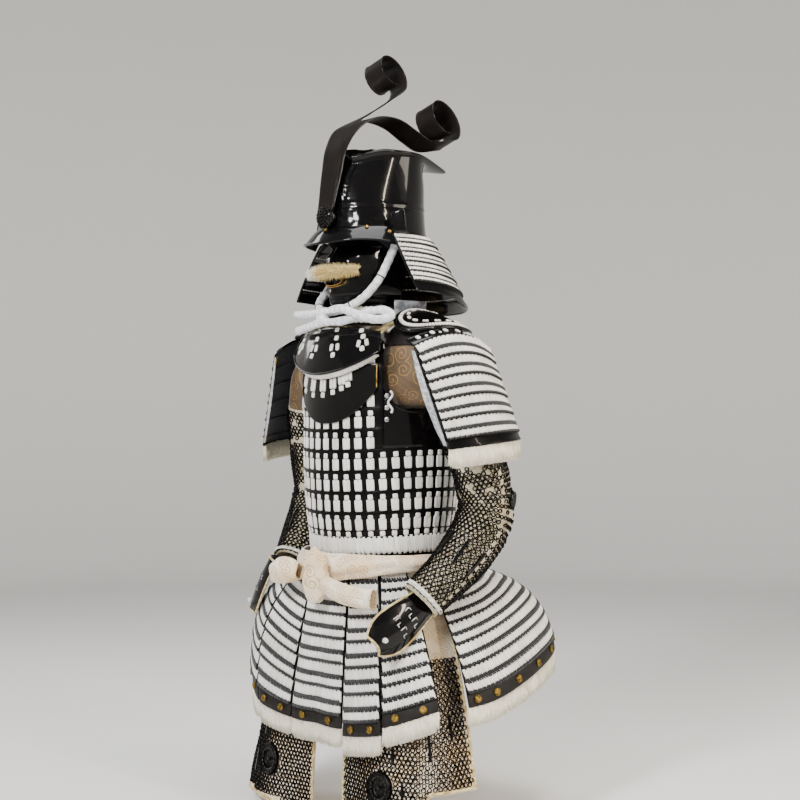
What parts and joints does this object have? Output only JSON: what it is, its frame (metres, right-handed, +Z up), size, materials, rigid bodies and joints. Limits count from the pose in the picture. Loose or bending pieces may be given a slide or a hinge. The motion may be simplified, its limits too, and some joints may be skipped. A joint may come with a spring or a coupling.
{
  "type": "samurai armour",
  "caption": "Worn samurai armour with tall helmet, curled crest, mask, laced cuirass, shoulder guards, mail sleeves, sash, laced skirt and thigh guards, hollow inside.",
  "frame": {"origin": "on the wearer's body axis, level with the tops of the shoulder straps, where the armour is held up", "axes": "+Z up, the armour faces -Y, +X is its own left"},
  "size_m": [0.702, 0.5594, 1.6264],
  "materials": {
    "lacquer": "black lacquer over iron, polished to a deep gloss",
    "laced_trunk": "black lacquered plates with spaced white silk lacing",
    "laced_rows": "close white silk lacing over black lacquered plates",
    "fur": "long cream fur",
    "whisker": "straight blond animal hair",
    "mail": "black iron mail sewn on pale patterned cloth",
    "brocade": "cream and gold silk brocade",
    "collar_cloth": "grey patterned cloth",
    "cord": "thick soft white cord"
  },
  "bodies": {
    "root": {"belly_back": "laced_trunk", "belly_front": "laced_trunk", "chest_back": "laced_trunk", "chest_front": "laced_trunk", "chin_bow": "cord", "chin_cord": "cord", "collar": "collar_cloth", "crest_frond_low": "lacquer", "crest_frond_tall": "lacquer", "crest_holder": "lacquer", "hand_guard_left": "lacquer", "hand_guard_right": "lacquer", "helmet_bowl": "lacquer", "helmet_peak": "lacquer", "mask": "lacquer", "moustache": "whisker", "neck_guard": "laced_rows", "sash_band": "brocade", "sash_end": "brocade", "sash_knot": "brocade", "sash_loop": "brocade", "shoulder_crown_left": "lacquer", "shoulder_crown_right": "lacquer", "shoulder_fringe_left": "fur", "shoulder_fringe_right": "fur", "shoulder_guard_left": "laced_rows", "shoulder_guard_right": "laced_rows", "shoulder_strap_left": "lacquer", "shoulder_strap_right": "lacquer", "shoulder_wing_left": "lacquer", "shoulder_wing_right": "lacquer", "skirt_back": "laced_rows", "skirt_back_fringe": "fur", "skirt_front": "laced_rows", "skirt_front_fringe": "fur", "skirt_second_fringe_left": "fur", "skirt_second_fringe_right": "fur", "skirt_second_left": "laced_rows", "skirt_second_right": "laced_rows", "skirt_side_fringe_left": "fur", "skirt_side_fringe_right": "fur", "skirt_side_left": "laced_rows", "skirt_side_right": "laced_rows", "skirt_third_fringe_left": "fur", "skirt_third_fringe_right": "fur", "skirt_third_left": "laced_rows", "skirt_third_right": "laced_rows", "sleeve_left": "mail", "sleeve_right": "mail", "thigh_band": "brocade", "thigh_guard_left": "mail", "thigh_guard_right": "mail", "throat_bib": "lacquer", "throat_guard_lower": "lacquer", "throat_guard_upper": "lacquer", "turnback_left": "lacquer", "turnback_right": "lacquer", "underarm_plate_left": "lacquer", "underarm_plate_right": "lacquer", "waist_lacing": "laced_rows"}
  },
  "joints": []
}
